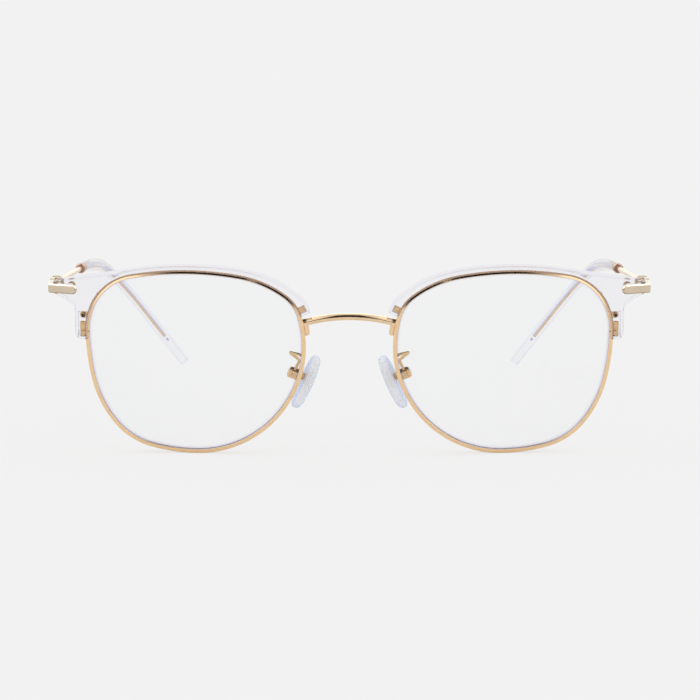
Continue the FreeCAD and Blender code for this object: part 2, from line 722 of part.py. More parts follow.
def make_temple_knuckle():
    hinge = hinge_place()
    along = temple_axes()[0]
    half = HINGE_KNUCKLE / 2
    knuckle = rod(HINGE_DIAMETER, hinge - UP * half, hinge + UP * half)
    side = NECK_WIDTH / 2
    neck = box((-side, 0, -half), (side, SOCKET_START + SOCKET_FLOOR / 2, half))
    across = along.cross(UP).normalize()
    neck = seated(neck, FreeCAD.Placement(hinge, FreeCAD.Rotation(across, UP.cross(across), UP, "XYZ")))
    socket_end = SOCKET_START + SOCKET_LENGTH
    socket = rod(SOCKET_DIAMETER, hinge + along * SOCKET_START, hinge + along * socket_end)
    solid = knuckle.fuse([neck, socket]).removeSplitter()
    bore_start = hinge + along * (SOCKET_START + SOCKET_FLOOR - SEAT_GAP)
    bore_end = hinge + along * (socket_end + SOCKET_LENGTH)
    solid = solid.cut(rod(ARM_DIAMETER + 2 * SEAT_GAP, bore_start, bore_end))
    pin_hole = HINGE_SCREW_DIAMETER + 2 * RUNNING_GAP
    return solid.cut(rod(pin_hole, hinge - UP * HINGE_HEIGHT, hinge + UP * HINGE_HEIGHT))


def make_tip_ferrule():
    along = temple_axes()[0]
    hinge = hinge_place()
    start = hinge + along * (TIP_START - FERRULE_LENGTH)
    end = hinge + along * TIP_START
    ring = rod(FERRULE_DIAMETER, start, end)
    mouth = min(ring.Edges, key=lambda edge: edge.CenterOfMass.y)
    ring = ring.makeFillet(FERRULE_ROUND, [mouth])
    overrun = along * DRILL_OVERRUN
    return ring.cut(rod(ARM_DIAMETER + 2 * SEAT_GAP, start - overrun, end + overrun))


def tip_section(distance, share):
    """Oval outline of the tip square to its middle line."""
    point, tangent = temple_station(distance)
    width, depth = tip_size(distance)
    side = temple_side()
    across = side.cross(tangent) * (width * share)
    through = side * (depth * share)
    to_oval = FreeCAD.Matrix(
        across.x, through.x, tangent.x, point.x,
        across.y, through.y, tangent.y, point.y,
        across.z, through.z, tangent.z, point.z,
        0, 0, 0, 1)
    unit_circle = Part.Wire(Part.Circle(Vector(), UP, 1).toShape())
    return unit_circle.transformGeometry(to_oval).Wires[0]


def make_temple_tip():
    end_back = TIP_END_STEPS[0][0] * TIP_WIDTH / 2
    run = TEMPLE_LENGTH - end_back - TIP_START
    sections = [tip_section(TIP_START + run * step / TIP_SECTIONS, 1.0) for step in range(TIP_SECTIONS)]
    sections += [tip_section(TEMPLE_LENGTH - back * TIP_WIDTH / 2, share) for back, share in TIP_END_STEPS]
    sleeve = Part.makeLoft(sections, True, False)
    core_end = TEMPLE_LENGTH - CORE_END + SEAT_GAP
    return sleeve.cut(temple_wire(CORE_DIAMETER + 2 * SEAT_GAP, TIP_START - DRILL_OVERRUN, core_end))


def pad_axes():
    """Unit vectors of the pad: up its length, back along its width, and towards the rim."""
    frontal = math.radians(PAD_FRONTAL_ANGLE)
    splay = math.radians(PAD_SPLAY_ANGLE)
    length = Vector(-math.sin(frontal), 0, math.cos(frontal))
    width = Vector(math.sin(splay), math.cos(splay), 0)
    width = (width - length * width.dot(length)).normalize()
    return length, width, width.cross(length)


def pad_placement():
    """Pad frame: X along its width, Y up its length, Z towards the rim, zero on the pad's outer face."""
    length, width, outward = pad_axes()
    return FreeCAD.Placement(PAD_CENTRE, FreeCAD.Rotation(width, length, outward, "XYZ"))


def pad_core(grow):
    """Metal insert: an oval plate inside the pad with an eye that stands out of it."""
    half = PAD_CORE_THICKNESS / 2
    low = -PAD_THICKNESS / 2 - half - grow
    oval = Part.Ellipse(Vector(), PAD_CORE_LENGTH / 2 + grow, PAD_CORE_WIDTH / 2 + grow)
    plate = Part.Face(Part.Wire(oval.toShape())).extrude(UP * (PAD_CORE_THICKNESS + 2 * grow))
    plate.rotate(Vector(), UP, 90)
    plate.translate(UP * low)
    thick = PAD_EYE_THICKNESS / 2 + grow
    wide = PAD_EYE_WIDTH / 2 + grow
    stem = box((-thick, -wide, -PAD_THICKNESS / 2), (thick, wide, PAD_EYE_STANDOFF))
    across = Vector(1, 0, 0)
    eye_centre = UP * PAD_EYE_STANDOFF
    eye = rod(2 * wide, eye_centre - across * thick, eye_centre + across * thick)
    return plate.fuse([stem, eye]).removeSplitter()


def pad_pin(diameter, length):
    """Round bar on the pad's rocking axis."""
    across = Vector(1, 0, 0)
    centre = UP * PAD_EYE_STANDOFF
    return rod(diameter, centre - across * (length / 2), centre + across * (length / 2))


def make_pad_core():
    core = pad_core(0).cut(pad_pin(PAD_SCREW_DIAMETER + 2 * RUNNING_GAP, PAD_BOX_DIAMETER))
    return seated(core, pad_placement())


def make_nose_pad():
    oval = Part.Ellipse(Vector(), PAD_LENGTH / 2, PAD_WIDTH / 2)
    solid = Part.Face(Part.Wire(oval.toShape())).extrude(UP * -PAD_THICKNESS)
    solid.rotate(Vector(), UP, 90)
    dome = Part.makeSphere(PAD_DOME_RADIUS, UP * (PAD_DOME_RADIUS - PAD_THICKNESS), Vector(1, 0, 0))
    solid = solid.common(dome)
    rear = max(solid.Edges, key=lambda edge: edge.CenterOfMass.z)
    solid = solid.makeFillet(PAD_ROUND, [rear])
    solid.translate(Vector(0, -PAD_MOUNT_RISE, 0))
    return seated(solid.cut(pad_core(SEAT_GAP)), pad_placement())


def pad_box_span():
    """Where the cup starts and ends, measured out from the pad's outer face."""
    return PAD_BOX_GAP, PAD_EYE_STANDOFF + PAD_EYE_WIDTH / 2 + PAD_BOX_FLOOR


def make_pad_box():
    low, high = pad_box_span()
    cup = rod(PAD_BOX_DIAMETER, UP * low, UP * high)
    slot_half = PAD_EYE_THICKNESS / 2 + KNUCKLE_GAP
    reach = PAD_BOX_DIAMETER
    slot_end = high - PAD_BOX_FLOOR + KNUCKLE_GAP
    slot = box((-slot_half, -reach, low - DRILL_OVERRUN), (slot_half, reach, slot_end))
    cup = cup.cut(slot).cut(pad_pin(PAD_SCREW_DIAMETER + 2 * SEAT_GAP, 2 * PAD_BOX_DIAMETER))
    return seated(cup, pad_placement())


def make_pad_screw():
    seat = PAD_BOX_DIAMETER / 2
    pin = screw(PAD_SCREW_DIAMETER, PAD_SCREW_HEAD, 2 * seat, Vector(1, 0, 0))
    pin.translate(Vector(seat, 0, PAD_EYE_STANDOFF))
    return seated(pin, pad_placement())


def rounded_path(points, radius):
    """Straight runs through the points, joined at each inner point by a tangent arc."""
    edges = []
    start = points[0]
    for before, corner, after in zip(points, points[1:], points[2:]):
        arriving = (corner - before).normalize()
        leaving = (after - corner).normalize()
        turn = arriving.getAngle(leaving)
        setback = radius * math.tan(turn / 2)
        first = corner - arriving * setback
        last = corner + leaving * setback
        bulge = (leaving - arriving).normalize()
        centre = corner + bulge * (radius / math.cos(turn / 2))
        edges += [line(start, first), Part.Arc(first, centre - bulge * radius, last).toShape()]
        start = last
    return edges + [line(start, points[-1])]


def make_pad_arm():
    length, width, outward = pad_axes()
    low, high = pad_box_span()
    cup = PAD_CENTRE + outward * ((low + high) / 2)
    rim = rim_seat(PAD_ARM_ANGLE, 0, PAD_ARM_SET_BACK).Base
    points = [rim] + [rim + Vector(*corner) for corner in PAD_ARM_CORNERS] + [cup]
    path = Part.Wire(rounded_path(points, PAD_ARM_BEND))
    section = Part.Wire(Part.Circle(points[0], points[1] - points[0], PAD_ARM_DIAMETER / 2).toShape())
    wire = path.makePipeShell([section], True, False)
    envelope = seated(rod(PAD_BOX_DIAMETER, UP * low, UP * high), pad_placement())
    return wire.cut(rim_envelope()).cut(envelope)


def mirrored(shape):
    return shape.mirror(Vector(), Vector(1, 0, 0))


SIDE_PIECES = {
    "rim": make_rim,
    "lens": make_lens,
    "brow": make_brow,
    "brow_tab": make_brow_tab,
    "brow_lug": make_brow_lug,
    "brow_screw": make_brow_screw,
    "closing_block_upper": make_closing_block_upper,
    "closing_block_lower": make_closing_block_lower,
    "closing_screw": make_closing_screw,
    "endpiece": make_endpiece,
    "endpiece_screws": make_endpiece_screws,
    "hinge_screw": make_hinge_screw,
    "temple_knuckle": make_temple_knuckle,
    "temple_arm": make_temple_arm,
    "tip_ferrule": make_tip_ferrule,
    "temple_tip": make_temple_tip,
    "pad_arm": make_pad_arm,
    "pad_box": make_pad_box,
    "pad_screw": make_pad_screw,
    "pad_core": make_pad_core,
    "nose_pad": make_nose_pad,
}


def build_pieces():
    pieces = {"bridge": make_bridge()}
    for name, make in SIDE_PIECES.items():
        left = make()
        pieces[name + "_left"] = left
        pieces[name + "_right"] = mirrored(left)
    return pieces


def leaned(shape, degrees):
    """A copy turned about the X axis, so that the top of the front goes forward."""
    turned = shape.copy()
    turned.rotate(Vector(), Vector(1, 0, 0), degrees)
    return turned


def solve_lean(rim, tip):
    """The lean in degrees at which rim and tip stand on one flat surface."""
    low, high = 0.0, 30.0
    for _ in range(22):
        middle = (low + high) / 2
        tip_bottom = leaned(tip, middle).optimalBoundingBox().ZMin
        if tip_bottom < leaned(rim, middle).optimalBoundingBox().ZMin:
            low = middle
        else:
            high = middle
    return (low + high) / 2


upright = build_pieces()
lean = solve_lean(upright["rim_left"], upright["temple_tip_left"])
pieces = {name: leaned(shape, lean) for name, shape in upright.items()}
whole = Part.makeCompound(list(pieces.values())).optimalBoundingBox()
to_origin = Vector(-whole.Center.x, -whole.Center.y, -whole.ZMin)
os.makedirs("parts", exist_ok=True)
for name, shape in pieces.items():
    shape.translate(to_origin)
    shape.exportStep("parts/" + name + ".step")
turn = FreeCAD.Rotation(Vector(1, 0, 0), lean)
print("size", whole.XLength, whole.YLength, whole.ZLength)
print("lean", lean, "shift", to_origin)
print("hinge", turn.multVec(hinge_place()) + to_origin, turn.multVec(UP))
pad_pin_place = pad_placement().multVec(UP * PAD_EYE_STANDOFF)
print("pad pin", turn.multVec(pad_pin_place) + to_origin, turn.multVec(pad_axes()[1]))
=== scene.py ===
import json
import math

import bmesh
import bpy
from mathutils import Matrix, Vector


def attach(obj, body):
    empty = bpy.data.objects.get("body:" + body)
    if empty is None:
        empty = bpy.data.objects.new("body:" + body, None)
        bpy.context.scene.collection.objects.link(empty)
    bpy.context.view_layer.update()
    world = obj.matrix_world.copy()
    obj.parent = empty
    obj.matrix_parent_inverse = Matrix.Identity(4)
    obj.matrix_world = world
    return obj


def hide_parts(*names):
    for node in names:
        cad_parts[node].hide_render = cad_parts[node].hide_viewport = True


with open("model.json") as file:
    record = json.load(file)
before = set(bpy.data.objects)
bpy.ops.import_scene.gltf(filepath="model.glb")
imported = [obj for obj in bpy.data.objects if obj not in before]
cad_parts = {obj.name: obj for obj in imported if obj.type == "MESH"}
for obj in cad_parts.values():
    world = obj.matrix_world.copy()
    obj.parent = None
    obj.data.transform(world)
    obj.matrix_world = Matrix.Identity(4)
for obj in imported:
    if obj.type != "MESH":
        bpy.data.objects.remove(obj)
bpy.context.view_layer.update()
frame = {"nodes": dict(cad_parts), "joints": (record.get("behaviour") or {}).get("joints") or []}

nodes = frame["nodes"]
bpy.context.scene.view_settings.view_transform = "Standard"

# Eyewires and bridge: drawn wire of a copper alloy, bent to shape, soldered and then polished and
# plated in pale gold. The plating is bright, with a faint mottling and a fine polishing grain.
MM = 0.001
FLOAT, COLOUR = "NodeSocketFloat", "NodeSocketColor"
CLOUD_DETAIL = 4.0
DULL_RANGE = (0.35, 0.68)
ROUGH_RANGE = (0.3, 0.75)
GRAIN_SCALE = 14000.0
GRAIN_DETAIL = 2.0
GRAIN_RANGE = (0.2, 0.8)
GRAIN_STRENGTH = 0.25


def add_node(tree, kind, **settings):
    node = tree.nodes.new(kind)
    for name, value in settings.items():
        setattr(node, name, value)
    return node


def feed(tree, socket, value):
    """Links a socket to another one, or sets it to a plain value."""
    if isinstance(value, bpy.types.NodeSocket):
        tree.links.new(value, socket)
    else:
        socket.default_value = value


def fill(tree, node, values):
    """Feeds several sockets of a node by name."""
    for name, value in values.items():
        feed(tree, node.inputs[name], value)


def new_group(name, inputs, outputs):
    """Empty shader group with float or colour sockets, and its two end nodes."""
    tree = bpy.data.node_groups.new(name, "ShaderNodeTree")
    for socket, kind in inputs:
        tree.interface.new_socket(socket, in_out="INPUT", socket_type=kind)
    for socket, kind in outputs:
        tree.interface.new_socket(socket, in_out="OUTPUT", socket_type=kind)
    return tree, add_node(tree, "NodeGroupInput"), add_node(tree, "NodeGroupOutput")


def noise_at(tree, place, scale, detail):
    noise = add_node(tree, "ShaderNodeTexNoise")
    fill(tree, noise, {"Vector": place, "Scale": scale, "Detail": detail})
    return noise.outputs["Fac"]


def ranged(tree, value, from_low, from_high, to_low=0.0, to_high=1.0):
    """The value stretched from one range to another; the ends may be numbers or sockets."""
    node = add_node(tree, "ShaderNodeMapRange")
    fill(tree, node, {"Value": value, "From Min": from_low, "From Max": from_high,
                      "To Min": to_low, "To Max": to_high})
    return node.outputs["Result"]


def mixed(tree, share, first, second):
    """A colour between two; a Mix node keeps its colour sockets at these places."""
    node = add_node(tree, "ShaderNodeMix", data_type="RGBA")
    from_colour, to_colour, result = node.inputs[6], node.inputs[7], node.outputs[2]
    feed(tree, node.inputs["Factor"], share)
    feed(tree, from_colour, first)
    feed(tree, to_colour, second)
    return result


def plating_group():
    """Polished plating: cloudy tone, worn dull patches and a fine grain left by the buffing wheel."""
    tree, given, made = new_group(
        "plating_polish",
        (("Bright", COLOUR), ("Dull", COLOUR), ("Cloud Scale", FLOAT), ("Smooth", FLOAT), ("Rough", FLOAT)),
        (("Colour", COLOUR), ("Roughness", FLOAT), ("Height", FLOAT)),
    )
    place = add_node(tree, "ShaderNodeTexCoord").outputs["Object"]
    cloud = noise_at(tree, place, given.outputs["Cloud Scale"], CLOUD_DETAIL)
    grain = noise_at(tree, place, GRAIN_SCALE, GRAIN_DETAIL)
    patch = ranged(tree, cloud, *DULL_RANGE)
    fill(tree, made, {
        "Colour": mixed(tree, patch, given.outputs["Bright"], given.outputs["Dull"]),
        "Roughness": ranged(tree, cloud, *ROUGH_RANGE, given.outputs["Smooth"], given.outputs["Rough"]),
        "Height": ranged(tree, grain, *GRAIN_RANGE),
    })
    return tree


PLATING = plating_group()


def new_material(name):
    """Material with a Principled shader; returns the material, its tree and the shader."""
    material = bpy.data.materials.new(name)
    material.use_nodes = True
    tree = material.node_tree
    return material, tree, tree.nodes["Principled BSDF"]


def bumped(tree, shader, height, strength, distance):
    bump = add_node(tree, "ShaderNodeBump")
    fill(tree, bump, {"Strength": strength, "Distance": distance, "Height": height})
    feed(tree, shader.inputs["Normal"], bump.outputs["Normal"])


def plated(name, bright, dull, cloud_scale, smooth, rough, grain_depth):
    """Plated metal that clouds between a bright and a dull tone."""
    material, tree, shader = new_material(name)
    polish = add_node(tree, "ShaderNodeGroup", node_tree=PLATING)
    fill(tree, polish, {"Bright": (*bright, 1.0), "Dull": (*dull, 1.0), "Cloud Scale": cloud_scale,
                        "Smooth": smooth, "Rough": rough})
    fill(tree, shader, {"Base Color": polish.outputs["Colour"], "Metallic": 1.0,
                        "Roughness": polish.outputs["Roughness"]})
    bumped(tree, shader, polish.outputs["Height"], GRAIN_STRENGTH, grain_depth)
    return material


def dress(material, *names):
    for name in names:
        nodes[name].material_slots[0].material = material


SIDES = ("left", "right")


def both(name):
    return [name + "_" + side for side in SIDES]


rim_gold = plated("rim_gold", bright=(0.925, 0.655, 0.385), dull=(0.86, 0.61, 0.36),
                  cloud_scale=650.0, smooth=0.05, rough=0.1, grain_depth=0.003 * MM)
bridge_gold = plated("bridge_gold", bright=(0.88, 0.65, 0.43), dull=(0.80, 0.585, 0.37),
                     cloud_scale=500.0, smooth=0.04, rough=0.09, grain_depth=0.003 * MM)
LENS_MIDDLE = Vector((35.5, 0.0, 21.8)) * MM
PAINTED_GROOVE_SHADE = (0.60, 0.55, 0.64, 1.0)
PAINTED_GROOVE_FACING = (0.35, 0.75)
SOLDER_PLACE = Vector((10.3, 0.0, 31.65)) * MM
SOLDER_REACH = 0.7 * MM
SOLDER_DARKEST = SOLDER_REACH / 3
SOLDER_STAIN = (0.11, 0.06, 0.03, 1.0)


def vector_math(tree, operation, first, second=(0, 0, 0)):
    """Vector operation; a distance or a dot product comes out as a number."""
    node = add_node(tree, "ShaderNodeVectorMath", operation=operation)
    feed(tree, node.inputs[0], first)
    feed(tree, node.inputs[1], second)
    return node.outputs["Value" if operation in ("DISTANCE", "DOT_PRODUCT") else "Vector"]


def one_side(tree):
    """Place on the left half for both halves, without depth, and the sign that mirrors it back."""
    place = add_node(tree, "ShaderNodeTexCoord").outputs["Object"]
    flat = vector_math(tree, "MULTIPLY", place, (1, 0, 1))
    return vector_math(tree, "ABSOLUTE", flat), vector_math(tree, "SIGN", flat)


def stain(material, mask, colour):
    """Lays a colour over a finish where the mask says."""
    tree = material.node_tree
    target = tree.nodes["Principled BSDF"].inputs["Base Color"]
    feed(tree, target, mixed(tree, mask, target.links[0].from_socket, colour))


def add_solder_stain(material):
    """Brown heat stain that the torch leaves round both soldered ends of the bridge."""
    tree = material.node_tree
    place, _ = one_side(tree)
    away = vector_math(tree, "DISTANCE", place, SOLDER_PLACE)
    stain(material, ranged(tree, away, SOLDER_DARKEST, SOLDER_REACH, 1.0, 0.0), SOLDER_STAIN)


def add_painted_groove_shade(material):
    """Painted shade, lavender-grey, on the eyewire's inner wall, where it faces the lens."""
    tree = material.node_tree
    place, sign = one_side(tree)
    inward = vector_math(tree, "NORMALIZE", vector_math(tree, "SUBTRACT", LENS_MIDDLE, place))
    normal = add_node(tree, "ShaderNodeTexCoord").outputs["Normal"]
    facing = vector_math(tree, "DOT_PRODUCT", inward, vector_math(tree, "MULTIPLY", normal, sign))
    stain(material, ranged(tree, facing, *PAINTED_GROOVE_FACING), PAINTED_GROOVE_SHADE)


add_solder_stain(bridge_gold)
# The eyewires' inner walls get a painted lavender shade.
add_painted_groove_shade(rim_gold)
dress(rim_gold, *both("rim"))
dress(bridge_gold, "bridge")

# Lenses: clear spherical blanks edged to the rim's shape, with a tongue round the edge that snaps into
# the eyewire's groove. Hard-coated, with the faintest film left by wiping.
LENS_TINT = (0.988, 0.99, 0.994)
LENS_FILM = (0.978, 0.982, 0.99)
LENS_EDGE = (0.86, 0.85, 0.92)
LENS_SHADE = (0.64, 0.61, 0.76, 1.0)
LENS_SHADE_REACH = 0.7 * MM
LENS_SHADE_RANGE = (0.92, 0.6)
FILM_DETAIL = 5.0
FILM_RANGE = (0.4, 0.7)
WAVE_DETAIL = 1.0
WAVE_STRENGTH = 0.2
EDGE_BLEND = 0.3
SHADE_SAMPLES = 8
CLEAR_BOUNCES = 40
MIRROR_BOUNCES = 20
bpy.context.scene.cycles.max_bounces = CLEAR_BOUNCES
bpy.context.scene.cycles.transmission_bounces = CLEAR_BOUNCES
bpy.context.scene.cycles.glossy_bounces = MIRROR_BOUNCES


def film_group():
    """Clear material: a broad cloudy film, and a soft unevenness of the surface."""
    tree, given, made = new_group(
        "clear_film",
        (("Clear", COLOUR), ("Film", COLOUR), ("Film Scale", FLOAT), ("Wave Scale", FLOAT),
         ("Smooth", FLOAT), ("Rough", FLOAT)),
        (("Colour", COLOUR), ("Roughness", FLOAT), ("Height", FLOAT)),
    )
    place = add_node(tree, "ShaderNodeTexCoord").outputs["Object"]
    cloud = noise_at(tree, place, given.outputs["Film Scale"], FILM_DETAIL)
    film = ranged(tree, cloud, *FILM_RANGE)
    fill(tree, made, {
        "Colour": mixed(tree, film, given.outputs["Clear"], given.outputs["Film"]),
        "Roughness": ranged(tree, cloud, *ROUGH_RANGE, given.outputs["Smooth"], given.outputs["Rough"]),
        "Height": noise_at(tree, place, given.outputs["Wave Scale"], WAVE_DETAIL),
    })
    return tree


FILM = film_group()


def calculated(tree, operation, first, second=0.0):
    node = add_node(tree, "ShaderNodeMath", operation=operation)
    feed(tree, node.inputs[0], first)
    feed(tree, node.inputs[1], second)
    return node.outputs["Value"]


def show_blend(tree, end, share, first, second):
    """Ends a tree in a blend of two shaders, which is all the second one where the share is 1."""
    blend = add_node(tree, "ShaderNodeMixShader")
    for socket, value in zip(blend.inputs, (share, first, second)):
        feed(tree, socket, value)
    feed(tree, tree.nodes[end].inputs["Surface"], blend.outputs["Shader"])


def clear(name, tint, film_tint, edge_tint, film_scale, wave_scale, wave_depth, ior, gloss, coat=0.0):
    """See-through material, deeper in tone at its edges, that lets daylight through to what lies behind.

    The coat is a gloss on the outer faces alone, so that the faces seen from inside add no reflections.
    """
    material, tree, shader = new_material(name)
    film = add_node(tree, "ShaderNodeGroup", node_tree=FILM)
    fill(tree, film, {"Clear": (*tint, 1.0), "Film": (*film_tint, 1.0), "Film Scale": film_scale,
                      "Wave Scale": wave_scale})
    edge = add_node(tree, "ShaderNodeLayerWeight")
    edge.inputs["Blend"].default_value = EDGE_BLEND
    tone = mixed(tree, edge.outputs["Facing"], film.outputs["Colour"], (*edge_tint, 1.0))
    fill(tree, shader, {"Base Color": tone, "Metallic": 0.0, "Roughness": 0.0, "Transmission Weight": 1.0,
                        "IOR": ior, "Specular IOR Level": gloss, "Coat Roughness": 0.0})
    if coat:
        inside = add_node(tree, "ShaderNodeNewGeometry").outputs["Backfacing"]
        feed(tree, shader.inputs["Coat Weight"], ranged(tree, inside, 0.0, 1.0, coat, 0.0))
    bumped(tree, shader, film.outputs["Height"], WAVE_STRENGTH, wave_depth)
    path = add_node(tree, "ShaderNodeLightPath")
    daylight = calculated(tree, "MAXIMUM", path.outputs["Is Shadow Ray"], path.outputs["Is Diffuse Ray"])
    let_through = add_node(tree, "ShaderNodeBsdfTransparent")
    show_blend(tree, "Material Output", daylight, shader.outputs["BSDF"], let_through.outputs["BSDF"])
    return material


def add_painted_corner_shade(material, colour, reach, closeness, own_edges):
    """Painted shade on a clear piece close to its neighbours or, for own edges, along its own edges and
    corners.
    """
    tree = material.node_tree
    near = add_node(tree, "ShaderNodeAmbientOcclusion", samples=SHADE_SAMPLES, inside=own_edges,
                    only_local=own_edges)
    near.inputs["Distance"].default_value = reach
    stain(material, ranged(tree, near.outputs["AO"], *closeness), colour)


lens_clear = clear("lens_clear", LENS_TINT, LENS_FILM, LENS_EDGE, film_scale=60.0, wave_scale=40.0,
                   wave_depth=0.002 * MM, ior=1.5, gloss=0.0)
# Painted shade on the lens where it comes close to the rim's lip.
add_painted_corner_shade(lens_clear, LENS_SHADE, LENS_SHADE_REACH, LENS_SHADE_RANGE, own_edges=False)
dress(lens_clear, *both("lens"))

# Brow pieces: cut from clear cellulose acetate sheet, tumbled to a gloss, grooved underneath to sit on the
# rim and pocketed behind for its fixings. The sheet has a faint lavender cast and a soft tumbled surface,
# with painted shade as dark lines along its edges and pocket corners.
BROW_TINT = (0.965, 0.961, 0.978)
BROW_CAST = (0.945, 0.94, 0.962)
BROW_EDGE = (0.86, 0.845, 0.94)
BROW_PAINTED_SHADE = (0.34, 0.33, 0.50, 1.0)
BROW_PAINTED_SHADE_REACH = 0.5 * MM
PAINTED_EDGE_SHADE_RANGE = (0.9, 0.55)
brow_acetate = clear("brow_acetate", BROW_TINT, BROW_CAST, BROW_EDGE, film_scale=120.0, wave_scale=260.0,
                     wave_depth=0.003 * MM, ior=1.1, gloss=1.0, coat=0.5)
add_painted_corner_shade(brow_acetate, BROW_PAINTED_SHADE, BROW_PAINTED_SHADE_REACH, PAINTED_EDGE_SHADE_RANGE, own_edges=True)
dress(brow_acetate, *both("brow"))

# Rim fixings: a square tab and an eyelet soldered to each eyewire to carry the brow, and the two barrels
# that close the split rim. Plated with the rim, but less polished where they hide in the acetate.
fixing_gold = plated("fixing_gold", bright=(0.78, 0.55, 0.31), dull=(0.64, 0.42, 0.21),
                     cloud_scale=1400.0, smooth=0.16, rough=0.3, grain_depth=0.006 * MM)
eyelet_gold = plated("eyelet_gold", bright=(0.90, 0.62, 0.33), dull=(0.80, 0.52, 0.25),
                     cloud_scale=1400.0, smooth=0.1, rough=0.2, grain_depth=0.004 * MM)
dress(fixing_gold, *both("brow_tab"), *both("closing_block_upper"), *both("closing_block_lower"))
dress(eyelet_gold, *both("brow_lug"))

# Screws: small slotted steel screws, gold-washed, that hold the brow, close the rim, fix the endpiece and
# pin the hinge and pads. Those in the brow's pockets are painted dark, as painted shade in the pockets.
screw_gold = plated("screw_gold", bright=(0.72, 0.56, 0.38), dull=(0.55, 0.42, 0.29),
                    cloud_scale=2200.0, smooth=0.14, rough=0.3, grain_depth=0.005 * MM)
# Near-black finish: painted shade for the screws down in the brow's pockets.
screw_painted_shade = plated("screw_painted_shade", bright=(0.22, 0.14, 0.08), dull=(0.12, 0.08, 0.05),
                    cloud_scale=2200.0, smooth=0.18, rough=0.35, grain_depth=0.005 * MM)
dress(screw_gold, *both("closing_screw"), *both("endpiece_screws"), *both("hinge_screw"), *both("pad_screw"))
dress(screw_painted_shade, *both("brow_screw"))

# Endpieces: pressed capsule bars screwed to the brow's outer ends and carried round the corner to the
# hinge knuckles. Plated in a paler gold than the wire, with a painted highlight on the upper round and
# painted shade on the lower round.
BAR_PAINTED_HIGHLIGHT = (0.98, 0.90, 0.74, 1.0)
BAR_PAINTED_HIGHLIGHT_FACING = (0.15, 0.5)
BAR_PAINTED_SHADE = (0.30, 0.20, 0.11, 1.0)
BAR_PAINTED_SHADE_FACING = (-0.3, -0.75)
bar_gold = plated("bar_gold", bright=(0.71, 0.60, 0.455), dull=(0.66, 0.55, 0.41),
                  cloud_scale=420.0, smooth=0.08, rough=0.14, grain_depth=0.001 * MM)


def add_painted_round_light(material):
    """Painted highlight on the upper round and painted shade on the lower round of a pressed bar."""
    tree = material.node_tree
    normal = add_node(tree, "ShaderNodeTexCoord").outputs["Normal"]
    upward = vector_math(tree, "DOT_PRODUCT", normal, (0, 0, 1))
    stain(material, ranged(tree, upward, *BAR_PAINTED_HIGHLIGHT_FACING), BAR_PAINTED_HIGHLIGHT)
    stain(material, ranged(tree, upward, *BAR_PAINTED_SHADE_FACING), BAR_PAINTED_SHADE)


add_painted_round_light(bar_gold)
dress(bar_gold, *both("endpiece"))

# Temple arms: straight gold wire let into the socket of the hinge knuckle, running on as the core inside
# the clear tip, with a turned ring where the tip starts.
ARM_BRIGHT = (0.80, 0.58, 0.34)
ARM_DULL = (0.70, 0.49, 0.27)
CORE_PAINTED_REFLECTION = (0.56, 0.63, 0.94, 1.0)
CORE_PAINTED_REFLECTION_SIDE = Vector((-0.95, 0.0, 0.31))
CORE_PAINTED_REFLECTION_FACING = (0.4, 0.65)
CORE_PAINTED_REFLECTION_DEPTH = (0.0, 4.0 * MM)
CORE_PAINTED_REFLECTION_MOST = 0.85


def plated_arm(name):
    return plated(name, ARM_BRIGHT, ARM_DULL, cloud_scale=520.0, smooth=0.1, rough=0.18,
                  grain_depth=0.004 * MM)


arm_gold = plated_arm("arm_gold")
core_gold_painted_reflection = plated_arm("core_gold_painted_reflection")
ring_gold = plated("ring_gold", bright=(0.50, 0.32, 0.25), dull=(0.36, 0.20, 0.15),
                   cloud_scale=800.0, smooth=0.12, rough=0.22, grain_depth=0.004 * MM)


def add_core_painted_reflection(material):
    """Painted reflection: a blue sheen painted on the upper inner side of the wire where the clear tip is
    moulded round it.
    """
    tree = material.node_tree
    _, sign = one_side(tree)
    coordinates = add_node(tree, "ShaderNodeTexCoord")
    mirror = vector_math(tree, "ADD", vector_math(tree, "MULTIPLY", sign, (1, 0, 0)), (0, 0, 1))
    normal = vector_math(tree, "MULTIPLY", coordinates.outputs["Normal"], mirror)
    facing = vector_math(tree, "DOT_PRODUCT", normal, CORE_PAINTED_REFLECTION_SIDE)
    depth = vector_math(tree, "DOT_PRODUCT", coordinates.outputs["Object"], (0, 1, 0))
    strength = ranged(tree, depth, *CORE_PAINTED_REFLECTION_DEPTH, 0.0, CORE_PAINTED_REFLECTION_MOST)
    stain(material, ranged(tree, facing, *CORE_PAINTED_REFLECTION_FACING, 0.0, strength), CORE_PAINTED_REFLECTION)


# The core inside the tip gets a painted blue reflection on its upper inner side.
add_core_painted_reflection(core_gold_painted_reflection)
dress(arm_gold, *both("temple_knuckle"))
dress(core_gold_painted_reflection, *both("temple_arm"))
dress(ring_gold, *both("tip_ferrule"))

# Temple tips: clear acetate moulded round the arm's core without a gap, swelling from the ring to a flat
# bar with rounded corners and bent down behind the ear. A small bubble is left beyond the end of the core.
left_hinge = next(joint for joint in frame["joints"] if joint["name"] == "temple_fold_left")
HINGE_POINT = Vector((68.2, 13.0254, 38.3)) * MM
FRONT_LEAN = math.atan2(-left_hinge["axis"][1], left_hinge["axis"][2])
LEAN_TURN = Matrix.Rotation(FRONT_LEAN, 4, "X")
STANCE = Matrix.Translation(Vector(left_hinge["pos_m"]) - LEAN_TURN @ HINGE_POINT) @ LEAN_TURN
TIP_START = 51.22 * MM
TIP_END = 140.2 * MM
SWEEP_ANGLE = math.radians(6.0)
BEND_START = 85.4 * MM
BEND_RADIUS = 37.4 * MM
BEND_ANGLE = math.radians(49.2)
BEND_END = BEND_START + BEND_RADIUS * BEND_ANGLE
ARM_BENDS = ((TIP_START, BEND_START, SWEEP_ANGLE), (BEND_START, BEND_END, BEND_ANGLE))
ARM_INWARD = math.radians(1.2)
ARM_SLOPE = math.radians(9.5)
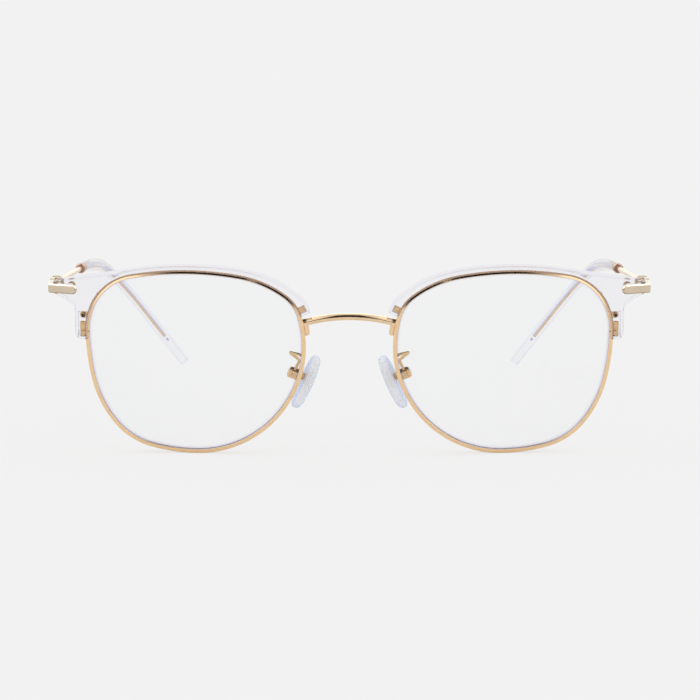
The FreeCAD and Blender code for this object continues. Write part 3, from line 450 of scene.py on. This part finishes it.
BEND_ROLL = math.radians(33.6)
TIP_MOUTH = 2.4 * MM
TIP_WIDTH = 3.6 * MM
TIP_DEPTH = 2.5 * MM
TIP_SEGMENTS = 32
TIP_STEPS = 56
TIP_SQUARENESS = 0.3
TIP_SQUARE_BY = 0.2
TIP_END_RUN = TIP_WIDTH / 2
TIP_END_STEPS = ((0.5, 0.985), (0.28, 0.93), (0.12, 0.83), (0.03, 0.7), (0.0, 0.58))
BUBBLE_SIZE = (0.35 * MM, 0.35 * MM, 0.6 * MM)
BUBBLE_PLACE = 130.8 * MM
BUBBLE_SEGMENTS = 16
BUBBLE_RINGS = 10
TIP_TINT = (0.99, 0.99, 0.997)
TIP_CAST = (0.975, 0.973, 0.99)
TIP_EDGE = (0.75, 0.76, 0.93)
TIP_PAINTED_SHADE = (0.24, 0.24, 0.50, 1.0)
TIP_PAINTED_SHADE_REACH = 0.6 * MM
tip_acetate = clear("tip_acetate", TIP_TINT, TIP_CAST, TIP_EDGE, film_scale=150.0, wave_scale=220.0,
                    wave_depth=0.006 * MM, ior=1.1, gloss=1.0, coat=1.0)
# Painted shade as dark lines along the tip's own edges and corners.
add_painted_corner_shade(tip_acetate, TIP_PAINTED_SHADE, TIP_PAINTED_SHADE_REACH, PAINTED_EDGE_SHADE_RANGE, own_edges=True)


def arm_axes():
    """Along the straight arm, and the way its ear bend turns, with the front upright."""
    flat = Vector((-math.sin(ARM_INWARD), math.cos(ARM_INWARD), 0))
    up = Vector((0, 0, 1))
    along = flat * math.cos(ARM_SLOPE) - up * math.sin(ARM_SLOPE)
    across = along.cross(up).normalized()
    down = -across.cross(along)
    return along, down * math.cos(BEND_ROLL) - across * math.sin(BEND_ROLL)


def arm_place(distance):
    """Matrix at a distance from the hinge: Z along the arm, X in the bend's plane."""
    along, turning = arm_axes()
    point = HINGE_POINT + along * min(distance, TIP_START)
    turned = 0.0
    for start, end, angle in ARM_BENDS:
        radius = (end - start) / angle
        after = turned + angle * min(max((distance - start) / (end - start), 0), 1)
        point += along * (radius * (math.sin(after) - math.sin(turned)))
        point += turning * (radius * (math.cos(turned) - math.cos(after)))
        turned = after
    tangent = along * math.cos(turned) + turning * math.sin(turned)
    point += tangent * max(distance - BEND_END, 0)
    side = along.cross(turning)
    across = side.cross(tangent)
    axes = Matrix((across, side, tangent)).transposed().to_4x4()
    return STANCE @ Matrix.Translation(point) @ axes


def tip_run(distance):
    """How far along the tip a distance from the hinge is, from 0 to 1."""
    return (distance - TIP_START) / (TIP_END - TIP_START)


def tip_ring(distance, share):
    """Matrix that turns a unit outline into the tip's section."""
    run = tip_run(distance)
    swell = run * run * (3 - 2 * run)
    width = TIP_MOUTH + (TIP_WIDTH - TIP_MOUTH) * swell
    depth = TIP_MOUTH + (TIP_DEPTH - TIP_MOUTH) * swell
    return arm_place(distance) @ Matrix.Diagonal((width / 2 * share, depth / 2 * share, 1, 1))


def tip_power(distance):
    """Power that draws the section from a circle at the ring to a rounded rectangle."""
    return 1 - (1 - TIP_SQUARENESS) * min(tip_run(distance) / TIP_SQUARE_BY, 1)


def squared(value, power):
    return math.copysign(abs(value) ** power, value)


def new_ring(segments, section):
    """Mesh that starts as one open ring, and the ring's edges."""
    bm = bmesh.new()
    bmesh.ops.create_circle(bm, cap_ends=False, radius=1.0, segments=segments, matrix=section)
    return bm, list(bm.edges)


def grow_ring(bm, edges, before, after, power=1.0):
    """Extrudes an open ring of edges and carries the new ring from one section to the next."""
    grown = bmesh.ops.extrude_edge_only(bm, edges=edges)["geom"]
    into_unit = before.inverted()
    for vert in (item for item in grown if isinstance(item, bmesh.types.BMVert)):
        x, y, z = into_unit @ vert.co
        vert.co = after @ Vector((squared(x, power), squared(y, power), z))
    return [item for item in grown if isinstance(item, bmesh.types.BMEdge)]


def turn_to_side(bm, side):
    """Leaves a left piece as it is; a right one is mirrored and its faces turned out again."""
    if side == "right":
        bmesh.ops.scale(bm, vec=(-1, 1, 1), verts=list(bm.verts))
        bmesh.ops.reverse_faces(bm, faces=list(bm.faces))


def placed(bm, name, material):
    """Makes a mesh an object in the scene, with one finish."""
    mesh = bpy.data.meshes.new(name)
    bm.to_mesh(mesh)
    bm.free()
    mesh.materials.append(material)
    thing = bpy.data.objects.new(name, mesh)
    bpy.context.scene.collection.objects.link(thing)
    return thing


def finished(bm, name, material, body, replaced):
    """Turns a mesh into a smooth piece that rides on a body in place of a CAD node."""
    for face in bm.faces:
        face.smooth = True
    piece = placed(bm, name, material)
    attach(piece, body)
    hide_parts(replaced)
    return piece


def make_tip(side):
    run = TIP_END - TIP_END_RUN - TIP_START
    places = [(TIP_START + run * step / TIP_STEPS, 1.0) for step in range(TIP_STEPS + 1)]
    places += [(TIP_END - back * TIP_END_RUN, share) for back, share in TIP_END_STEPS]
    rings = [(tip_ring(distance, share), tip_power(distance)) for distance, share in places]
    bm, mouth = new_ring(TIP_SEGMENTS, rings[0][0])
    edges = mouth
    for (before, power), (after, next_power) in zip(rings, rings[1:]):
        edges = grow_ring(bm, edges, before, after, next_power / power)
    bmesh.ops.edgeloop_fill(bm, edges=edges)
    bmesh.ops.edgeloop_fill(bm, edges=mouth)
    bmesh.ops.recalc_face_normals(bm, faces=list(bm.faces))
    bubble = arm_place(BUBBLE_PLACE) @ Matrix.Diagonal((*BUBBLE_SIZE, 1))
    void = bmesh.ops.create_uvsphere(bm, u_segments=BUBBLE_SEGMENTS, v_segments=BUBBLE_RINGS, radius=1.0,
                                     matrix=bubble)["verts"]
    bmesh.ops.reverse_faces(bm, faces=list({face for vert in void for face in vert.link_faces}))
    turn_to_side(bm, side)
    node = "temple_tip_" + side
    finished(bm, "clear_tip_" + side, tip_acetate, "temple_" + side, node)


for side in SIDES:
    make_tip(side)

# Pad arms: thin wire soldered to the back of the rim, bent in a loop and ending in a small cup with a
# rounded end, which the pad's eye is screwed into. Plated with the rim.
PAD_CENTRE = Vector((10.7, 10.2, 16.2)) * MM
PAD_FRONTAL = math.radians(24.0)
PAD_SPLAY = math.radians(8.0)
PAD_MOUNT_RISE = 1.0 * MM
CUP_END = 3.95 * MM
CUP_ROUND = 0.62 * MM
CUP_ROUND_STEPS = 5
CUP_SHARP = math.radians(35)
TOUCHING = 0.01 * MM
SAME_POINT = 0.001 * MM
NEARLY_FLAT = math.radians(1)
pad_wire_gold = plated("pad_wire_gold", bright=(0.80, 0.54, 0.28), dull=(0.66, 0.43, 0.20),
                       cloud_scale=1200.0, smooth=0.05, rough=0.1, grain_depth=0.002 * MM)
dress(pad_wire_gold, *both("pad_arm"), *both("pad_core"))


def pad_place():
    """Pad frame: X along its width, Y up its length, Z towards the rim, zero on the pad's outer face."""
    length = Vector((-math.sin(PAD_FRONTAL), 0, math.cos(PAD_FRONTAL)))
    width = Vector((math.sin(PAD_SPLAY), math.cos(PAD_SPLAY), 0))
    width = (width - length * width.dot(length)).normalized()
    turned = Matrix((width, length, width.cross(length))).transposed().to_4x4()
    return STANCE @ Matrix.Translation(PAD_CENTRE) @ turned @ Matrix.Translation((0, -PAD_MOUNT_RISE, 0))


def make_cup(side):
    """Cup of the pad arm with its outer end turned round; the rest is as it was drilled and slotted."""
    node = "pad_box_" + side
    bm = bmesh.new()
    bm.from_mesh(nodes[node].data)
    bmesh.ops.remove_doubles(bm, verts=list(bm.verts), dist=SAME_POINT)
    bmesh.ops.dissolve_limit(bm, angle_limit=NEARLY_FLAT, verts=list(bm.verts), edges=list(bm.edges))
    to_left = Vector((1 if side == "left" else -1, 1, 1))
    into_pad = pad_place().inverted()
    at_end = {vert for vert in bm.verts if (into_pad @ (vert.co * to_left)).z > CUP_END - TOUCHING}
    end_edges = [edge for edge in bm.edges if at_end.issuperset(edge.verts)]
    corner = [edge for edge in end_edges if edge.calc_face_angle(0) > CUP_SHARP]
    bmesh.ops.bevel(bm, geom=corner, offset=CUP_ROUND, offset_type="OFFSET", segments=CUP_ROUND_STEPS,
                    profile=0.5, affect="EDGES", material=-1)
    cup = finished(bm, "pad_cup_" + side, pad_wire_gold, "front", node)
    cup.data.set_sharp_from_angle(angle=CUP_SHARP)


for side in SIDES:
    make_cup(side)

# Nose pads: milky silicone with a cool blue cast, moulded round a metal insert. The side against the nose
# is domed, the side towards the rim flat with a soft edge and a shallow dish round the eye.
PAD_HALF_WIDTH = 3.5 * MM
PAD_HALF_LENGTH = 6.8 * MM
PAD_SEGMENTS = 40
PAD_EDGE = -0.65 * MM
PAD_BACK_RINGS = ((0.985, -0.28), (0.93, -0.06), (0.84, 0.0), (0.5, -0.04), (0.2, -0.06))
PAD_DOME_RINGS = ((1.0, -1.2), (0.97, -1.7), (0.9, -2.05), (0.75, -2.25), (0.5, -2.36), (0.2, -2.4))
PAD_SUBDIVISIONS = 2
PAD_TINT = (0.92, 0.945, 1.0)
PAD_CAST = (0.88, 0.915, 0.99)
PAD_FILM_SCALE = 300.0
PAD_WAVE_SCALE = 420.0
PAD_WAVE_DEPTH = 0.006 * MM
PAD_SMOOTH, PAD_ROUGH = 0.3, 0.42
PAD_GLOSS = 0.3
PAD_EDGE_BLEND = 0.35
PAD_BLUE = (0.46, 0.58, 0.88, 1.0)
PAD_BLUE_FACING = (0.25, 0.9)
PAD_BODY = (0.74, 0.93)
PAD_BODY_FACING = (0.0, 0.8)


def pad_ring(share, height):
    """Matrix that turns a unit circle into the pad's outline, at a share of its size and a height."""
    outline = Matrix.Diagonal((PAD_HALF_WIDTH * share, PAD_HALF_LENGTH * share, 1, 1))
    return pad_place() @ Matrix.Translation((0, 0, height)) @ outline


def make_silicone(name):
    """Cloudy silicone: half see-through where it is thin to the eye, fuller and bluer towards its edges."""
    material, tree, shader = new_material(name)
    film = add_node(tree, "ShaderNodeGroup", node_tree=FILM)
    fill(tree, film, {"Clear": (*PAD_TINT, 1.0), "Film": (*PAD_CAST, 1.0), "Film Scale": PAD_FILM_SCALE,
                      "Wave Scale": PAD_WAVE_SCALE, "Smooth": PAD_SMOOTH, "Rough": PAD_ROUGH})
    edge = add_node(tree, "ShaderNodeLayerWeight")
    edge.inputs["Blend"].default_value = PAD_EDGE_BLEND
    bluer = ranged(tree, edge.outputs["Facing"], *PAD_BLUE_FACING)
    fill(tree, shader, {
        "Base Color": mixed(tree, bluer, film.outputs["Colour"], PAD_BLUE),
        "Roughness": film.outputs["Roughness"],
        "Specular IOR Level": PAD_GLOSS,
        "Alpha": ranged(tree, edge.outputs["Facing"], *PAD_BODY_FACING, *PAD_BODY),
    })
    bumped(tree, shader, film.outputs["Height"], WAVE_STRENGTH, PAD_WAVE_DEPTH)
    return material


pad_silicone = make_silicone("pad_silicone")


def make_pad(side):
    start = pad_ring(1.0, PAD_EDGE)
    bm, rim_edges = new_ring(PAD_SEGMENTS, start)
    for rings in (PAD_BACK_RINGS, PAD_DOME_RINGS):
        before, edges = start, rim_edges
        for share, height in rings:
            after = pad_ring(share, height * MM)
            edges = grow_ring(bm, edges, before, after)
            before = after
        bmesh.ops.edgeloop_fill(bm, edges=edges)
    bmesh.ops.recalc_face_normals(bm, faces=list(bm.faces))
    turn_to_side(bm, side)
    node = "nose_pad_" + side
    pad = finished(bm, "silicone_pad_" + side, pad_silicone, "pad_" + side, node)
    rounding = pad.modifiers.new("rounding", "SUBSURF")
    rounding.levels = PAD_SUBDIVISIONS
    rounding.render_levels = PAD_SUBDIVISIONS


for side in SIDES:
    make_pad(side)

# Studio: a pale matt table that reaches far back, an even sky, and bright and dark cards round the object
# that only polished metal mirrors. Some of the dark ones fade towards their ends.
TABLE_SIZE = 5.0
TABLE_COLOUR = (0.888, 0.888, 0.888, 1.0)
TABLE_GLOW = 0.75
SKY_LIGHT = (1.0, 1.0, 1.0, 1.0)
SKY_SEEN = TABLE_COLOUR


def glowing(tree, colour):
    glow = add_node(tree, "ShaderNodeEmission")
    glow.inputs["Color"].default_value = colour
    return glow.outputs["Emission"]


def make_table():
    """Table that takes the object's shadow, and looks as pale as the sky behind it."""
    material, tree, shader = new_material("table_matt")
    fill(tree, shader, {"Base Color": TABLE_COLOUR, "Roughness": 1.0, "Specular IOR Level": 0.0})
    path = add_node(tree, "ShaderNodeLightPath")
    seen = calculated(tree, "MAXIMUM", path.outputs["Is Camera Ray"], path.outputs["Is Transmission Ray"])
    share = calculated(tree, "MULTIPLY", seen, TABLE_GLOW)
    show_blend(tree, "Material Output", share, shader.outputs["BSDF"], glowing(tree, TABLE_COLOUR))
    bm = bmesh.new()
    bmesh.ops.create_grid(bm, x_segments=1, y_segments=1, size=TABLE_SIZE)
    placed(bm, "table", material)


make_table()


def make_sky():
    """Even light on the object; the eye, metal and glass see the table's own pale grey."""
    world = bpy.data.worlds.new("sky")
    bpy.context.scene.world = world
    world.use_nodes = True
    tree = world.node_tree
    lit = tree.nodes["Background"]
    lit.inputs["Color"].default_value = SKY_LIGHT
    seen = add_node(tree, "ShaderNodeBackground")
    seen.inputs["Color"].default_value = SKY_SEEN
    path = add_node(tree, "ShaderNodeLightPath")
    share = calculated(tree, "MAXIMUM", path.outputs["Is Camera Ray"], path.outputs["Is Glossy Ray"])
    share = calculated(tree, "MAXIMUM", share, path.outputs["Is Transmission Ray"])
    show_blend(tree, "World Output", share, lit.outputs["Background"], seen.outputs["Background"])


make_sky()

FRONT_MIDDLE = Vector((0, -67.5, 25.0)) * MM
HALF = 0.5
MIRRORED_ONCE = 1.5
THROUGH_ONE_PIECE = 1.5


def direction(azimuth, elevation):
    """Unit vector from the front's middle; azimuth 0 is the camera's side."""
    a, e = math.radians(azimuth), math.radians(elevation)
    return Vector((math.sin(a) * math.cos(e), -math.cos(a) * math.cos(e), math.sin(e)))


def make_card_finish(name, colour, behind_clear=False, fade=None):
    """Finish of a card that only metal mirrors to the eye, bare or behind a clear piece.

    A fade gives the place across the card where it is full, and how far from there fading starts and ends.
    """
    material, tree, shader = new_material(name)
    tree.nodes.remove(shader)
    path = add_node(tree, "ShaderNodeLightPath")
    seen = calculated(tree, "LESS_THAN", path.outputs["Is Singular Ray"], HALF)
    if behind_clear:
        mirrored = calculated(tree, "GREATER_THAN", path.outputs["Glossy Depth"], HALF)
        through = calculated(tree, "GREATER_THAN", path.outputs["Transmission Depth"], THROUGH_ONE_PIECE)
        seen = calculated(tree, "MULTIPLY", seen, calculated(tree, "MULTIPLY", mirrored, through))
        unseen = add_node(tree, "ShaderNodeBsdfTransparent").outputs["BSDF"]
    else:
        bare = calculated(tree, "LESS_THAN", path.outputs["Ray Depth"], MIRRORED_ONCE)
        seen = calculated(tree, "MULTIPLY", seen, bare)
        unseen = glowing(tree, TABLE_COLOUR)
    if fade:
        full, start, end = fade
        place = add_node(tree, "ShaderNodeTexCoord").outputs["Object"]
        across = vector_math(tree, "DOT_PRODUCT", place, (1, 0, 0))
        away = calculated(tree, "ABSOLUTE", calculated(tree, "SUBTRACT", across, full))
        seen = calculated(tree, "MULTIPLY", seen, ranged(tree, away, start, end, 1.0, 0.0))
    show_blend(tree, "Material Output", seen, unseen, glowing(tree, colour))
    return material


def add_card(name, away, width, height, finish):
    """Stands a card at an offset from the front's middle, facing it, where only mirrored light finds it."""
    bm = bmesh.new()
    bmesh.ops.create_grid(bm, x_segments=1, y_segments=1, size=HALF,
                          matrix=Matrix.Diagonal((width, height, 1, 1)))
    card = placed(bm, name, finish)
    card.location = FRONT_MIDDLE + away
    card.rotation_mode = "QUATERNION"
    card.rotation_quaternion = away.to_track_quat("Z", "Y")
    card.visible_camera = False
    card.visible_diffuse = False
    card.visible_transmission = False
    card.visible_shadow = False


BRIGHT_CARDS = (
    ("front_card", 1.6, 0.0, 21.0, 1.7, 0.42, 1.5),
    ("back_card", 1.4, 180.0, 42.0, 1.6, 0.9, 1.9),
    ("low_back_card", 1.4, 180.0, 5.0, 1.6, 0.3, 1.25),
    ("left_near_card", 0.25, -36.9, 2.3, 0.06, 0.07, 1.35),
    ("right_near_card", 0.25, 36.9, 2.3, 0.06, 0.07, 1.35),
    ("left_card", 1.4, -76.0, 48.0, 1.1, 1.3, 2.2),
    ("right_card", 1.4, 76.0, 48.0, 1.1, 1.3, 2.2),
)
for name, distance, azimuth, elevation, width, height, glow in BRIGHT_CARDS:
    finish = make_card_finish(name + "_finish", (glow, glow, glow, 1.0))
    add_card(name, direction(azimuth, elevation) * distance, width, height, finish)

DARK_COLOUR = (0.012, 0.01, 0.008, 1.0)
DARK_CARDS = (
    ("roof_flag", (0.0, -0.74, 0.46), 0.28, 1.0, (0.0, 0.08, 0.135)),
    ("left_flag", (-0.073, -0.2, 0.009), 0.106, 0.062, (0.053, 0.076, 0.106)),
    ("right_flag", (0.073, -0.2, 0.009), 0.106, 0.062, (-0.053, 0.076, 0.106)),
    ("low_flag", (0.0, -0.2, -0.008), 0.04, 0.03, None),
)
for name, away, width, height, fade in DARK_CARDS:
    add_card(name, Vector(away), width, height, make_card_finish(name + "_finish", DARK_COLOUR, fade=fade))

CEILING_COLOUR = (0.01, 0.01, 0.015, 1.0)
CEILING_HEIGHT = 0.25
CEILING_SIZE = 0.7
ceiling_finish = make_card_finish("ceiling_finish", CEILING_COLOUR, behind_clear=True)
add_card("ceiling_card", Vector((0, 0, CEILING_HEIGHT)), CEILING_SIZE, CEILING_SIZE, ceiling_finish)

# Camera: a long lens aimed at the middle of the front, level across. Its aim and its rise are measured on
# the front as it is when upright, and the front's lean is then taken into both.
CAMERA_AIM = STANCE @ (Vector((0.138, 0.0, 25.2926)) * MM)
CAMERA_RISE = math.radians(14.74) - FRONT_LEAN
CAMERA_DISTANCE = 670.0 * MM
CAMERA_LENS = 149.94
CAMERA_SENSOR = 36.0
CAMERA_NEAR = 50.0 * MM
camera = bpy.data.cameras.new("camera")
camera.lens = CAMERA_LENS
camera.sensor_width = CAMERA_SENSOR
camera.clip_start = CAMERA_NEAR
viewer = bpy.data.objects.new("camera", camera)
bpy.context.scene.collection.objects.link(viewer)
toward = Vector((0, -math.cos(CAMERA_RISE), math.sin(CAMERA_RISE)))
viewer.location = CAMERA_AIM + toward * CAMERA_DISTANCE
viewer.rotation_euler = toward.to_track_quat("Z", "Y").to_euler()
bpy.context.scene.camera = viewer
